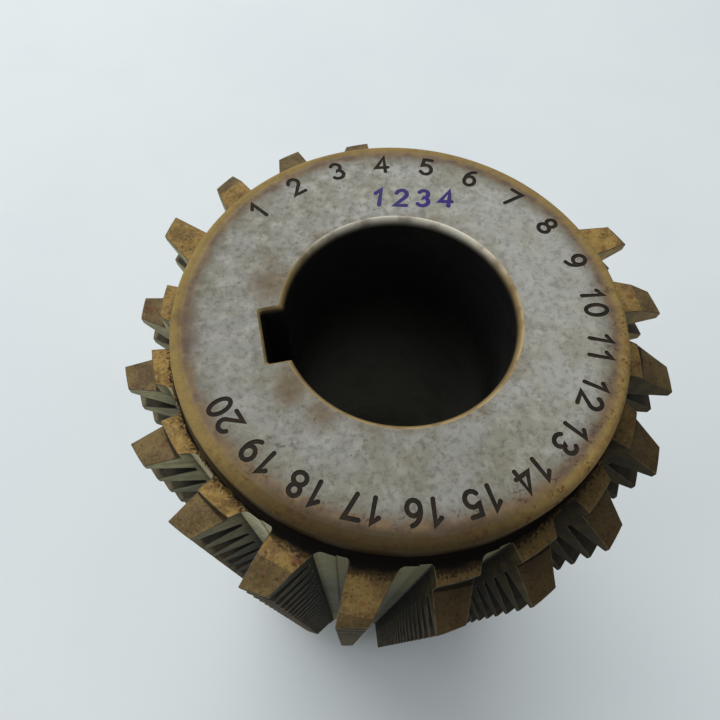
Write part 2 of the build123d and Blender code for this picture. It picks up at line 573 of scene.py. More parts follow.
@dataclass(frozen=True)
class Marks:
    """Numerals on the upper hub face: an engraved ring like a dial's, and a few in marker ink."""

    ring_radius: float = 33.6
    height: float = 3.7
    width: float = 0.74
    depth: float = 0.12
    advance: float = 0.86
    last: int = 20
    first_angle: float = 128.0
    sweep: float = -286.0
    ink_text: str = "1234"
    ink_upright: float = 78.0
    ink_lean: float = 0.12
    ink_width: float = 0.84
    ink_advance: float = 1.14
    ink_angle: float = 71.5
    ink_radius: float = 25.4
    digit_width: float = 0.6

    def placed(self, text: str, centre: Point2, upright: float, lean: float, advance: float) -> list[Run]:
        """Strokes of a few digits, set round a centre.

        Args:
            text: the digits.
            centre: middle of the text.
            upright: bearing that the tops of the digits point to.
            lean: sideways shift of the tops, as a share of the height.
            advance: distance from one digit to the next, as a share of the height.

        Returns:
            The strokes of all digits.
        """
        width = advance * len(text) - (advance - self.digit_width)
        strokes = []
        for i, digit in enumerate(text):
            for stroke in numeral(digit):
                run = []
                for x, y in stroke:
                    across = (x + i * advance - width / 2 + lean * (y - 0.5)) * self.height
                    dx, dy = turned((across, (y - 0.5) * self.height), upright - 90.0)
                    run.append((centre[0] + dx, centre[1] + dy))
                strokes.append(run)
        return strokes

    def engraved(self) -> list[Run]:
        """All strokes of the ring."""
        angles = spread(self.first_angle, self.first_angle + self.sweep, self.last - 1)
        strokes = []
        for number, angle in enumerate(angles, 1):
            strokes += self.placed(str(number), polar(self.ring_radius, angle), angle, 0.0, self.advance)
        return strokes

    def ink(self) -> list[Run]:
        """All strokes in marker ink."""
        centre = polar(self.ink_radius, self.ink_angle)
        return self.placed(self.ink_text, centre, self.ink_upright, self.ink_lean, self.ink_advance)


@dataclass
class HubFace:
    """Flat ground face of a hub, round the bore, with or without marks."""

    outer: Run
    inner: Run
    height: float
    marks: Marks | None = None
    pen_corner: float = 55.0

    def border(self, stroke: Run, width: float) -> Run:
        """Closed outline of a stroke drawn with a round pen.

        Args:
            stroke: open or closed run of points.
            width: width of the pen.

        Returns:
            The outline, left side first.
        """
        half, last = width / 2, len(stroke) - 1
        left, right = [], []
        for i in range(last + 1):
            before, here, after = (Vector(stroke[k]) for k in (max(i - 1, 0), i, min(i + 1, last)))
            first = (here - before if i else after - here).normalized()
            second = (after - here).normalized() if i < last else first
            along = (first + second).normalized()
            square = Vector((-along.y, along.x))
            reach = half / max(0.5, abs(square.dot(Vector((-first.y, first.x)))))
            left.append(tuple(here + square * reach))
            right.append(tuple(here - square * reach))
        ends = []
        for tip, inward in ((stroke[-1], stroke[-2]), (stroke[0], stroke[1])):
            bearing = math.degrees(math.atan2(tip[1] - inward[1], tip[0] - inward[0]))
            ends.append(arc(*tip, half, half, bearing + self.pen_corner, bearing - self.pen_corner, 2))
        return left + ends[0] + right[::-1] + ends[1]

    def build(self, mesh: HobMesh) -> None:
        """Adds the face, with engraved strokes sunk into it and ink strokes flush with it."""
        loops = [self.outer, self.inner]
        groups: list[tuple[Zone, float, list[Run]]] = []
        if self.marks:
            groups = [
                (Zone.ENGRAVED, self.marks.width, self.marks.engraved()),
                (Zone.INK, self.marks.ink_width, self.marks.ink()),
            ]
            loops += [self.border(stroke, width) for _, width, strokes in groups for stroke in strokes]
        points: list[Vector] = []
        edges: list[tuple[int, int]] = []
        for loop in loops:
            base = len(points)
            points += [Vector(p) for p in loop]
            edges += [(base + i, base + (i + 1) % len(loop)) for i in range(len(loop))]
        verts, _, faces, *_ = delaunay_2d_cdt(points, edges, [], 0, ON_PLANE)
        segments = [
            (zone, width / 2, a, b)
            for zone, width, strokes in groups
            for stroke in strokes
            for a, b in zip(stroke, stroke[1:])
        ]
        top = mesh.verts([(*v, self.height) for v in verts])
        sunk: dict[int, bmesh.types.BMVert] = {}
        seen: set[tuple[int, int]] = set()
        for face in faces:
            centre = tuple(sum(verts[i][axis] for i in face) / len(face) for axis in (0, 1))
            if self.inside(centre, self.inner):
                continue
            zone = self.zone_at(centre, segments)
            if zone is Zone.ENGRAVED:
                for i in face:
                    if i not in sunk:
                        sunk[i] = mesh.bm.verts.new((*verts[i], self.height - self.marks.depth))
                seen.update(zip(face, face[1:] + face[:1]))
            level = sunk if zone is Zone.ENGRAVED else top
            mesh.face([level[i] for i in face], zone)
        for a, b in seen:
            if (b, a) not in seen:
                mesh.face([top[a], top[b], sunk[b], sunk[a]], Zone.ENGRAVED)
        for vert in top:
            if not vert.link_faces:
                mesh.bm.verts.remove(vert)

    @staticmethod
    def inside(point: Point2, loop: Run) -> bool:
        """Whether a point lies inside a closed outline."""
        x, y = point
        odd = False
        for (x0, y0), (x1, y1) in zip(loop, loop[1:] + loop[:1]):
            if (y0 > y) != (y1 > y) and x < x0 + (y - y0) * (x1 - x0) / (y1 - y0):
                odd = not odd
        return odd

    @staticmethod
    def zone_at(point: Point2, segments: list[tuple[Zone, float, Point2, Point2]]) -> Zone:
        """Finish of the face at a point: plain, or that of the stroke that covers it."""
        x, y = point
        for zone, half, (ax, ay), (bx, by) in segments:
            beside = min(ax, bx) - half < x < max(ax, bx) + half
            if not (beside and min(ay, by) - half < y < max(ay, by) + half):
                continue
            dx, dy = bx - ax, by - ay
            share = max(0.0, min(1.0, ((x - ax) * dx + (y - ay) * dy) / (dx * dx + dy * dy)))
            if math.hypot(x - ax - share * dx, y - ay - share * dy) < half:
                return zone
        return Zone.FACE


@dataclass
class Hob:
    """The whole cutter as one piece."""

    gash: GashForm = GashForm()
    body: BodyForm = BodyForm()
    marks: Marks = Marks()
    edge_round: float = 0.12
    shortest_rounded: float = 0.3
    sharpest_left: float = 30.0

    def build(self) -> bpy.types.Object:
        """Builds the mesh, rounds its edges and makes it ride on the frame.

        Returns:
            The finished object, still without materials.
        """
        mesh = HobMesh()
        for row in range(self.gash.count):
            mesh.add(ToothRow(row, self.gash.thread, self.gash, self.body).build())
        GashedCore(self.gash, self.body).build(mesh)
        bore_edge = Bore(self.body).build(mesh)
        for upper in (True, False):
            rim = Hub(self.body, upper).build(mesh)
            height = self.body.length if upper else 0.0
            HubFace(rim, bore_edge, height, self.marks if upper else None).build(mesh)
        bm = mesh.bm
        bmesh.ops.remove_doubles(bm, verts=bm.verts, dist=WHOLE_WELD)
        bmesh.ops.recalc_face_normals(bm, faces=bm.faces)
        open_edges = sum(1 for e in bm.edges if len(e.link_faces) != 2)
        log.info("hob: %d faces before rounding, %d edges without two faces", len(bm.faces), open_edges)
        self.round_edges(bm)
        bmesh.ops.scale(bm, vec=(MM, MM, MM), verts=bm.verts)
        flat = {zone.value for zone in (Zone.FACE, Zone.ENGRAVED, Zone.INK, Zone.END)}
        for made in bm.faces:
            made.smooth = made.material_index not in flat
        data = bpy.data.meshes.new("hob_body")
        bm.to_mesh(data)
        bm.free()
        hob = put_in_scene("hob_body", data)
        hob.modifiers.new("weighted_normals", "WEIGHTED_NORMAL").keep_sharp = True
        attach(hob, "root")
        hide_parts("gear_hob")
        log.info("hob: %d faces", len(data.polygons))
        return hob

    def round_edges(self, bm: bmesh.types.BMesh) -> None:
        """Rounds the outer edges of the teeth and the end planes."""
        toothed = {z.value for z in (Zone.THREAD, Zone.END_FLANK, Zone.CUTTING, Zone.HEEL, Zone.END)}
        chosen = [
            edge for edge in bm.edges
            if len(edge.link_faces) == 2
            and {f.material_index for f in edge.link_faces} <= toothed
            and edge.calc_length() >= self.shortest_rounded
            and edge.calc_face_angle_signed(0.0) > math.radians(self.sharpest_left)
        ]
        bmesh.ops.bevel(
            bm, geom=chosen, offset=self.edge_round, offset_type="OFFSET", segments=2, profile=0.5,
            affect="EDGES", clamp_overlap=False, loop_slide=True, material=Zone.WORN_EDGE.value,
        )


Socket = bpy.types.NodeSocket
Source = bpy.types.NodeSocket | float | tuple[float, ...]
Feeds = dict[str | int, Source]
Sockets = tuple[Socket, ...]
Tone = tuple[int, int, int]
Spots = tuple[tuple[float, float, float, float], ...]


def linear(tone: Tone) -> tuple[float, float, float, float]:
    """Display values from 0 to 255 as a linear colour with alpha."""
    shares = [value / 255.0 for value in tone]
    red, green, blue = [s / 12.92 if s <= 0.04045 else ((s + 0.055) / 1.055) ** 2.4 for s in shares]
    return red, green, blue, 1.0


class Graph:
    """Shorthand for placing and joining the nodes of one tree."""

    def __init__(self, tree: bpy.types.NodeTree) -> None:
        """Takes the tree to work in. Its patterns read the position in metres that is kept in at."""
        self.tree = tree
        self.at: Source = (0.0, 0.0, 0.0)

    def feed(self, socket: Socket, source: Source) -> None:
        """Links a socket to another one, or sets its value."""
        if isinstance(source, bpy.types.NodeSocket):
            self.tree.links.new(source, socket)
        else:
            socket.default_value = source

    def put(self, kind: str, feeds: Feeds | None = None, **settings: object) -> bpy.types.Node:
        """Places a node.

        Args:
            kind: type of the node.
            feeds: what goes into its sockets, by name or number.
            settings: its other properties.

        Returns:
            The node.
        """
        node = self.tree.nodes.new(kind)
        for name, value in settings.items():
            setattr(node, name, value)
        for name, source in (feeds or {}).items():
            self.feed(node.inputs[name], source)
        return node

    def calc(self, operation: str, *values: Source) -> Socket:
        """Result of one sum on numbers."""
        return self.put("ShaderNodeMath", dict(enumerate(values)), operation=operation).outputs[0]

    def times(self, value: Source, factor: Source) -> Socket:
        """Product of two numbers."""
        return self.calc("MULTIPLY", value, factor)

    def minus(self, value: Source, less: Source) -> Socket:
        """Difference of two numbers."""
        return self.calc("SUBTRACT", value, less)

    def most(self, value: Source, other: Source) -> Socket:
        """The greater one of two numbers."""
        return self.calc("MAXIMUM", value, other)

    def length(self, x: Source, y: Source) -> Socket:
        """Length of an arrow with these two sides."""
        return self.calc("SQRT", self.calc("ADD", self.calc("POWER", x, 2.0), self.calc("POWER", y, 2.0)))

    def vectors(self, operation: str, value: Source, other: Source) -> Socket:
        """Result of one sum on vectors."""
        return self.put("ShaderNodeVectorMath", {0: value, 1: other}, operation=operation).outputs[0]

    def span(self, value: Source, low: Source, high: Source, first: float = 0.0, last: float = 1.0) -> Socket:
        """Smooth rise of a value.

        Args:
            value: what is read.
            low: reading at which the rise starts.
            high: reading at which it ends.
            first: result before the rise.
            last: result after it.

        Returns:
            The result.
        """
        feeds = {"Value": value, "From Min": low, "From Max": high, "To Min": first, "To Max": last}
        return self.put("ShaderNodeMapRange", feeds, interpolation_type="SMOOTHSTEP").outputs["Result"]

    def blend(self, share: Source, first: Socket | Tone, second: Socket | Tone) -> Socket:
        """Mix of two colours or tones, the second one by its share."""
        first, second = (linear(paint) if isinstance(paint, tuple) else paint for paint in (first, second))
        return self.put("ShaderNodeMix", {0: share, 6: first, 7: second}, data_type="RGBA").outputs[2]

    def coat(self, colour: Socket, mask: Socket, paint: Socket | Tone, share: float) -> Socket:
        """Colour with another one laid over it, by a mask and a share of that mask."""
        return self.blend(self.times(mask, share), colour, paint)

    def noise(self, size: Source, detail: Source, roughness: float = 0.6) -> Socket:
        """Soft noise of a size in millimetres, with its middle at one half."""
        scale = self.calc("DIVIDE", 1.0 / MM, size)
        feeds = {"Vector": self.at, "Scale": scale, "Detail": detail, "Roughness": roughness}
        return self.put("ShaderNodeTexNoise", feeds).outputs["Fac"]

    def place(self, effect: type["Effect"], *values: Source) -> list[Socket]:
        """Places a shared effect.

        Args:
            effect: which one.
            values: its inputs after the position, in order; those left out keep their own value.

        Returns:
            Its outputs, in the order of its gives.
        """
        node = self.put("ShaderNodeGroup", node_tree=effect.group())
        for name, value in zip(("Vector", *effect.takes), (self.at, *values)):
            self.feed(node.inputs[name], value)
        return [node.outputs[name] for name in effect.gives]

    def clouds(self, size: float, detail: float, low: float, high: float, *shift: float) -> Socket:
        """Mask of soft patches, by size and detail of the noise and the range that is cut out of it."""
        return self.place(Clouds, size, detail, low, high, *shift)[0]

    def specks(self, size: float, level: float, patch: float, patch_level: float, *shift: float) -> Socket:
        """Mask of sharp specks, by size and level of the specks and of the patches that hold them."""
        return self.place(Specks, size, level, patch, patch_level, *shift)[0]

    def film(self, distance: Socket, reach: Source, edge: float, ragged: Source, *noise: float) -> Socket:
        """Mask of a film, by reach, the soft share of it, raggedness, and the noise's size and shift."""
        return self.place(Film, distance, reach, edge, ragged, *noise)[0]

    def grain(self, size: float, pits: float) -> Socket:
        """Height of fine roughness of a size, with pits of a depth."""
        return self.place(Grain, size, pits)[0]


class Effect:
    """A look that several finishes share, kept as one node group."""

    title: str = ""
    takes: dict[str, float] = {}
    gives: tuple[str, ...] = ("Mask",)

    @classmethod
    def wire(cls, graph: Graph, *takes: Socket) -> Sockets:
        """Joins the nodes of the group.

        Args:
            graph: tree of the group.
            takes: the inputs after the position, in order.

        Returns:
            The outputs, in the order of gives.
        """
        raise NotImplementedError

    @classmethod
    def group(cls) -> bpy.types.NodeTree:
        """The node group, built when it is first asked for."""
        known = bpy.data.node_groups.get(cls.title)
        if known:
            return known
        tree = bpy.data.node_groups.new(cls.title, "ShaderNodeTree")
        tree.interface.new_socket("Vector", in_out="INPUT", socket_type="NodeSocketVector")
        for name, value in cls.takes.items():
            socket = tree.interface.new_socket(name, in_out="INPUT", socket_type="NodeSocketFloat")
            socket.default_value = value
        for name in cls.gives:
            tree.interface.new_socket(name, in_out="OUTPUT", socket_type="NodeSocketFloat")
        graph = Graph(tree)
        start = graph.put("NodeGroupInput").outputs
        graph.at = start["Vector"]
        results = cls.wire(graph, *(start[name] for name in cls.takes))
        graph.put("NodeGroupOutput", dict(zip(cls.gives, results)))
        return tree


class Place(Effect):
    """Where a point lies: radius and depth below the nearer hub face in millimetres, and its side."""

    title = "place_on_hob"
    gives = ("Radius", "From End", "Near Side", "Shade Side")
    half_length = BodyForm().length * MM / 2
    near_bearing = -106.0
    # The shade side faces this bearing, the lower right of the view, away from the lamps: the finishes paint
    # shade there.
    oily_bearing = -65.0

    @staticmethod
    def towards(graph: Graph, x: Socket, y: Socket, radius: Socket, angle: float) -> Socket:
        """How far a point faces a bearing, from -1 to 1."""
        east, north = polar(1.0, angle)
        across = graph.calc("ADD", graph.times(x, east), graph.times(y, north))
        return graph.calc("DIVIDE", across, graph.most(radius, MM))

    @classmethod
    def wire(cls, graph: Graph, *takes: Socket) -> Sockets:
        """Measures the point."""
        x, y, z = graph.put("ShaderNodeSeparateXYZ", {"Vector": graph.at}).outputs
        radius = graph.length(x, y)
        middle = graph.calc("ABSOLUTE", graph.minus(z, cls.half_length))
        depth = graph.times(graph.minus(cls.half_length, middle), 1.0 / MM)
        near = cls.towards(graph, x, y, radius, cls.near_bearing)
        shade_side = cls.towards(graph, x, y, radius, cls.oily_bearing)
        return graph.times(radius, 1.0 / MM), depth, near, shade_side


class Clouds(Effect):
    """Soft patches of a size in millimetres."""

    title = "clouds"
    takes = {"Size": 4.0, "Detail": 3.0, "Low": 0.42, "High": 0.6, "Shift": 0.0}

    @classmethod
    def wire(cls, graph: Graph, *takes: Socket) -> Sockets:
        """One noise, cut to a range."""
        size, detail, low, high, shift = takes
        graph.at = graph.vectors("ADD", graph.at, shift)
        return (graph.span(graph.noise(size, detail, 0.58), low, high),)


class Specks(Effect):
    """Small sharp specks that gather in patches."""

    title = "specks"
    takes = {"Size": 0.5, "Level": 0.6, "Patch": 4.0, "Patch Level": 0.5, "Shift": 0.0}

    @classmethod
    def wire(cls, graph: Graph, *takes: Socket) -> Sockets:
        """Fine noise above a level, held inside the patches of a coarse one."""
        size, level, patch, patch_level, shift = takes
        graph.at = graph.vectors("ADD", graph.at, shift)
        sharp = graph.span(graph.noise(size, 2.0), level, graph.calc("ADD", level, 0.05))
        held = graph.span(graph.noise(patch, 3.0), patch_level, graph.calc("ADD", patch_level, 0.1))
        return (graph.times(sharp, held),)


class Film(Effect):
    """Stain or dirt that lies against an edge and ends raggedly at a reach in millimetres."""

    title = "film"
    takes = {"Distance": 0.0, "Reach": 2.0, "Edge": 0.6, "Ragged": 1.0, "Size": 2.0, "Shift": 0.0}

    @classmethod
    def wire(cls, graph: Graph, *takes: Socket) -> Sockets:
        """Distance disturbed by noise, full near the edge and gone past the reach."""
        distance, reach, edge, ragged, size, shift = takes
        graph.at = graph.vectors("ADD", graph.at, shift)
        off = graph.times(graph.minus(graph.noise(size, 4.0), 0.5), graph.times(ragged, 4.0))
        full = graph.times(reach, graph.minus(1.0, edge))
        return (graph.span(graph.calc("ADD", distance, off), full, reach, 1.0, 0.0),)


class Grain(Effect):
    """Relief of old ground steel: fine roughness with shallow pits."""

    title = "grain"
    takes = {"Size": 0.4, "Pits": 0.6}
    gives = ("Height",)

    @classmethod
    def wire(cls, graph: Graph, *takes: Socket) -> Sockets:
        """Fine noise with pits taken out of it."""
        size, depth = takes
        pits = graph.specks(0.7, 0.63, 5.0, 0.44)
        return (graph.minus(graph.noise(size, 4.0), graph.times(pits, depth)),)


class ToolMarks(Effect):
    """Fine parallel marks that a cutter or wheel has left along the bore's direction, and across it."""

    title = "tool_marks"
    takes = {"Along": 900.0, "Across": 60.0}
    gives = ("Tone",)

    @classmethod
    def wire(cls, graph: Graph, *takes: Socket) -> Sockets:
        """Noise drawn out in one direction."""
        along, across = takes
        scale = graph.put("ShaderNodeCombineXYZ", {"X": along, "Y": along, "Z": across}).outputs[0]
        graph.at = graph.vectors("MULTIPLY", graph.at, scale)
        return (graph.noise(1.0 / MM, 3.0),)


class Spot(Effect):
    """Stain with a ragged edge round one point, given in millimetres in the hub face's plane."""

    title = "spot"
    takes = {"X": 0.0, "Y": 0.0, "Reach": 3.0, "Ragged": 1.0}

    @classmethod
    def wire(cls, graph: Graph, *takes: Socket) -> Sockets:
        """A film round the point."""
        *middle, reach, ragged = takes
        parts = graph.put("ShaderNodeSeparateXYZ", {"Vector": graph.at}).outputs
        offs = [graph.minus(graph.times(part, 1.0 / MM), own) for part, own in zip(parts, middle)]
        return (graph.film(graph.length(*offs), reach, 0.9, ragged, 3.0),)


class Gilding(Effect):
    """Heat-tinted band along the rim of a hub: how gold, how brown, how dull, and what lies below it.

    Below it lie the side and the foot, which is blackened partly by soot and partly as painted shade.
    """

    title = "gilding"
    takes = {"Radius": 0.0, "From End": 0.0, "Widening": 0.0}
    gives = ("Gold", "Brown", "Dull", "Side", "Soot")
    body = BodyForm()

    @classmethod
    def wire(cls, graph: Graph, *takes: Socket) -> Sockets:
        """Bands by the distance from the rim on the face, and by the depth on the side."""
        radius, depth, widening = takes
        from_rim = graph.minus(graph.minus(cls.body.hub_radius, radius), widening)
        dull = graph.film(from_rim, 6.4, 0.45, 0.9, 4.0)
        brown = graph.film(from_rim, 4.2, 0.35, 0.6, 3.0)
        gold = graph.film(from_rim, 2.9, 0.5, 0.35, 6.0, 0.5)
        soot = graph.film(graph.minus(cls.body.hub_height, depth), 3.0, 0.8, 0.7)
        return gold, brown, dull, graph.span(depth, 1.0, 1.7), soot


@dataclass(frozen=True)
class Look:
    """What a finish feeds its shader with."""

    colour: Socket
    roughness: Socket
    height: Socket


@dataclass(frozen=True, kw_only=True)
class Finish:
    """A procedural material."""

    name: str
    metallic: float = 0.0
    gloss: float = 0.5
    relief: float = 0.03

    def paint(self, graph: Graph) -> Look:
        """Builds the nodes in front of the shader.

        Args:
            graph: tree of the material.

        Returns:
            What the shader is fed with.
        """
        raise NotImplementedError

    def make(self) -> bpy.types.Material:
        """Builds the material."""
        material = bpy.data.materials.new(self.name)
        material.use_nodes = True
        graph = Graph(material.node_tree)
        graph.at = graph.put("ShaderNodeTexCoord").outputs["Object"]
        look = self.paint(graph)
        bump = graph.put("ShaderNodeBump", {"Distance": self.relief * MM, "Height": look.height})
        bump.inputs["Strength"].default_value = 1.0
        feeds = {
            "Base Color": look.colour, "Roughness": look.roughness, "Metallic": self.metallic,
            "Specular IOR Level": self.gloss, "Normal": bump.outputs["Normal"],
        }
        for name, source in feeds.items():
            graph.feed(material.node_tree.nodes["Principled BSDF"].inputs[name], source)
        return material


@dataclass(frozen=True, kw_only=True)
class HubSteel(Finish):
    """Hub: mottled grey ground face, gold and brown along the rim, blackened at the foot.

    The foot is blackened partly by soot and partly as painted shade, and face, rim and side carry painted
    light and shade by the side they turn to.
    """

    name: str = "hub_steel"
    metallic: float = 0.15
    gloss: float = 0.25
    cool: Tone = (152, 153, 148)
    warm: Tone = (136, 134, 120)
    pale: Tone = (170, 170, 161)
    speck: Tone = (70, 66, 54)
    dull: Tone = (104, 97, 80)
    brown: Tone = (116, 93, 64)
    purple: Tone = (84, 66, 56)
    gold: Tone = (144, 123, 74)
    dark_gold: Tone = (46, 35, 18)
    orange: Tone = (124, 90, 50)
    stain: Tone = (94, 72, 40)
    red: Tone = (70, 42, 27)
    # Olive and dark brown tones of the hub's side: lit and in painted shade.
    olive: Tone = (100, 88, 58)
    side: Tone = (56, 41, 22)
    soot: Tone = (20, 16, 13)
    dusk: Tone = (92, 88, 70)
    bore_edge: float = 20.9
    spots: Spots = (
        (-20.6, 10.4, 7.0, 1.0), (-20.6, -10.0, 5.0, 1.0), (-16.4, -15.4, 4.4, 0.9),
    )
    ring_spots: Spots = (
        (-36.0, 6.0, 3.0, 0.8), (-35.6, 1.5, 2.6, 0.8), (-3.5, -36.0, 2.2, 0.7), (20.0, -29.6, 2.4, 0.8),
    )

    def greys(self, graph: Graph) -> tuple[Socket, Socket, Socket]:
        """Mottled grey of the face.

        Returns:
            The colour, the mask of the pale flecks and the mask of the fine dark grain.
        """
        flecks = graph.clouds(2.6, 3.0, 0.42, 0.72)
        grain = graph.clouds(0.9, 4.0, 0.42, 0.76, 0.3)
        colour = graph.blend(graph.clouds(7.0, 5.0, 0.36, 0.64), self.warm, self.cool)
        colour = graph.coat(colour, flecks, self.pale, 0.5)
        colour = graph.coat(colour, grain, self.speck, 0.36)
        return graph.coat(colour, graph.specks(0.9, 0.63, 6.0, 0.52), self.speck, 0.65), flecks, grain

    @staticmethod
    def spotted(graph: Graph, spots: Spots) -> Socket:
        """Mask of a few spots together, each given by its place, reach and raggedness."""
        mask: Source = 0.0
        for spot in spots:
            mask = graph.most(mask, graph.place(Spot, *spot)[0])
        return mask

    def paint(self, graph: Graph) -> Look:
        """Greys first, then the stains from the bore and the rim, then the side.

        Light and shade by side are painted in among them.
        """
        radius, depth, near, shade_side = graph.place(Place)
        colour, flecks, grain = self.greys(graph)
        left = graph.minus(near, shade_side)
        # Painted shade: the face is darkened towards the near and left sides. Painted light: lightened
        # towards the right.
        painted_shade_share = graph.most(graph.span(near, 0.6, 1.0, 0.0, 0.28), graph.span(left, -0.1, 0.7, 0.0, 0.3))
        colour = graph.blend(painted_shade_share, colour, self.dusk)
        colour = graph.blend(graph.span(left, -0.7, -0.1, 0.3, 0.0), colour, self.pale)
        patches = graph.clouds(3.0, 5.0, 0.44, 0.62, 0.7)
        film = graph.film(graph.minus(radius, self.bore_edge), 2.2, 0.95, 0.8, 7.0)
        stained = graph.times(film, graph.calc("MULTIPLY_ADD", patches, 0.3, 0.1))
        stained = graph.most(stained, graph.times(self.spotted(graph, self.spots), 0.66))
        colour = graph.blend(stained, colour, self.stain)
        # On the near side the rim's bands are widened and their gold is darkened as painted shade.
        front = graph.span(near, 0.6, 1.0)
        low = graph.calc("MULTIPLY_ADD", graph.span(shade_side, -0.2, 0.7), 0.5, 0.12)
        gold, brown, dull, below, soot = graph.place(Gilding, radius, depth, graph.times(front, 0.7))
        colour = graph.coat(colour, dull, self.dull, 0.62)
        ring = graph.blend(graph.times(patches, 0.8), self.brown, self.purple)
        colour = graph.coat(colour, brown, ring, 0.85)
        edge = graph.blend(graph.times(patches, 0.22), self.gold, self.brown)
        edge = graph.blend(graph.times(graph.clouds(1.4, 5.0, 0.44, 0.66, 0.1), low), edge, self.orange)
        # Painted shade: the rim's gold darkens towards the near side.
        edge = graph.coat(edge, front, self.dark_gold, 0.88)
        colour = graph.coat(colour, gold, edge, 0.95)
        colour = graph.coat(colour, self.spotted(graph, self.ring_spots), self.purple, 0.6)
        colour = graph.coat(colour, grain, self.speck, 0.26)
        rust = graph.times(graph.specks(0.65, 0.55, 4.0, 0.47, 0.9), dull)
        colour = graph.blend(graph.times(rust, low), colour, self.red)
        # Painted shade on the hub's side: olive where it faces the light, dark brown towards the near and
        # shade sides.
        dark = graph.most(graph.span(near, 0.5, 1.0), graph.span(shade_side, 0.3, 0.9))
        colour = graph.blend(below, colour, graph.blend(dark, self.olive, self.side))
        # The hub's foot is blackened partly by soot and partly as painted shade in the corner, more on the
        # near and shade sides.
        soot_and_shade_share = graph.times(soot, graph.calc("MULTIPLY_ADD", dark, 0.55, 0.45))
        colour = graph.blend(soot_and_shade_share, colour, self.soot)
        rough = graph.most(graph.span(flecks, 0.0, 1.0, 0.62, 0.5), graph.span(radius, 35.5, 37.5, 0.0, 0.72))
        return Look(colour, rough, graph.grain(0.6, 0.5))


@dataclass(frozen=True, kw_only=True)
class ToothEnd(Finish):
    """End planes of the teeth and the flanks next to them: gold brown, speckled, red in places."""

    name: str = "tooth_ends"
    metallic: float = 0.2
    gloss: float = 0.12
    gold: Tone = (156, 128, 72)
    brown: Tone = (118, 94, 52)
    pale: Tone = (176, 150, 98)
    black: Tone = (20, 15, 13)
    red: Tone = (98, 48, 36)
    mauve: Tone = (104, 82, 66)
    shade: Tone = (52, 41, 23)
    hub_edge: float = 39.6
    root_radius: float = 43.3
    root_dirt: float = 0.0

    def paint(self, graph: Graph) -> Look:
        """Golds, specks and stains with painted shade by side, then grime round the hub.

        On the near side the grime widens into a painted shadow of the hub.
        """
        radius, _, near, shade_side = graph.place(Place)
        colour = graph.blend(graph.clouds(3.4, 5.0, 0.38, 0.64), self.gold, self.brown)
        colour = graph.coat(colour, graph.clouds(4.5, 4.0, 0.5, 0.68, 0.8), self.mauve, 0.6)
        colour = graph.coat(colour, graph.clouds(0.7, 4.0, 0.48, 0.7, 0.2), self.pale, 0.5)
        # Painted shade: darker on the shade side and a little on the far side.
        colour = graph.blend(graph.span(shade_side, 0.25, 0.98, 0.0, 0.8), colour, self.shade)
        colour = graph.blend(graph.span(shade_side, -0.9, -0.1, 0.22, 0.0), colour, self.shade)
        colour = graph.coat(colour, graph.clouds(2.6, 3.0, 0.61, 0.72, 0.25), self.red, 0.55)
        colour = graph.coat(colour, graph.clouds(0.5, 4.0, 0.52, 0.68, 0.4), self.black, 0.5)
        from_hub = graph.minus(radius, self.hub_edge)
        # Towards the near side the dark ring round the hub widens: painted shadow of the hub over the grime.
        reach = graph.span(near, 0.78, 0.99, 0.3, 2.9)
        fringe = graph.film(from_hub, graph.calc("MULTIPLY_ADD", reach, 0.75, 0.6), 0.3, 1.2, 0.5)
        dirt_and_shade = graph.most(graph.film(from_hub, reach, 0.6, 0.4, 2.6), graph.times(fringe, 0.75))
        # Darker next to the roots of the first flanks: partly grime, partly painted shade in the groove.
        if self.root_dirt:
            above_root = graph.minus(radius, self.root_radius)
            dirt_and_shade = graph.most(dirt_and_shade, graph.span(above_root, self.root_dirt * 0.3, self.root_dirt, 0.75, 0.0))
        colour = graph.blend(dirt_and_shade, colour, self.black)
        return Look(colour, graph.span(dirt_and_shade, 0.0, 1.0, 0.62, 0.8), graph.grain(0.4, 0.9))


@dataclass(frozen=True, kw_only=True)
class ThreadFlank(Finish):
    """Grooves of the thread: dark flanks and roots under worn brown crests, partly grime, partly painted
    shade.
    """

    name: str = "thread_grooves"
    metallic: float = 0.1
    gloss: float = 0.2
    brown: Tone = (62, 55, 38)
    deep: Tone = (30, 27, 19)
    crest: Tone = (112, 104, 78)
    dull_crest: Tone = (88, 80, 58)
    black: Tone = (14, 12, 9)
    dirt_radius: float = 42.7
    worn_radius: float = 47.6
    crest_radius: float = 48.5

    def paint(self, graph: Graph) -> Look:
        """Brown crests, darker towards the roots and on the shade side, partly as painted shade."""
        radius, _, _, shade_side = graph.place(Place)
        clouds = graph.clouds(3.0, 4.0, 0.4, 0.62)
        # The flanks' dark tones are partly grime and partly painted shade inside the grooves.
        flank = graph.blend(clouds, self.brown, self.deep)
        crest = graph.blend(clouds, self.crest, self.dull_crest)
        colour = graph.blend(graph.span(radius, self.worn_radius, self.crest_radius), flank, crest)
        colour = graph.coat(colour, graph.clouds(0.5, 3.0, 0.5, 0.74, 0.3), self.deep, 0.5)
        # Painted shade on the shade side.
        colour = graph.blend(graph.span(shade_side, -0.2, 0.6, 0.0, 0.8), colour, self.deep)
        # Darker towards the roots: partly grime, partly painted shade deep in the grooves.
        dirt_and_shade = graph.film(graph.minus(radius, self.dirt_radius), 4.2, 0.9, 0.5, 1.5)
        colour = graph.coat(colour, dirt_and_shade, self.black, 0.92)
        return Look(colour, graph.span(dirt_and_shade, 0.0, 1.0, 0.55, 0.8), graph.grain(0.4, 0.6))


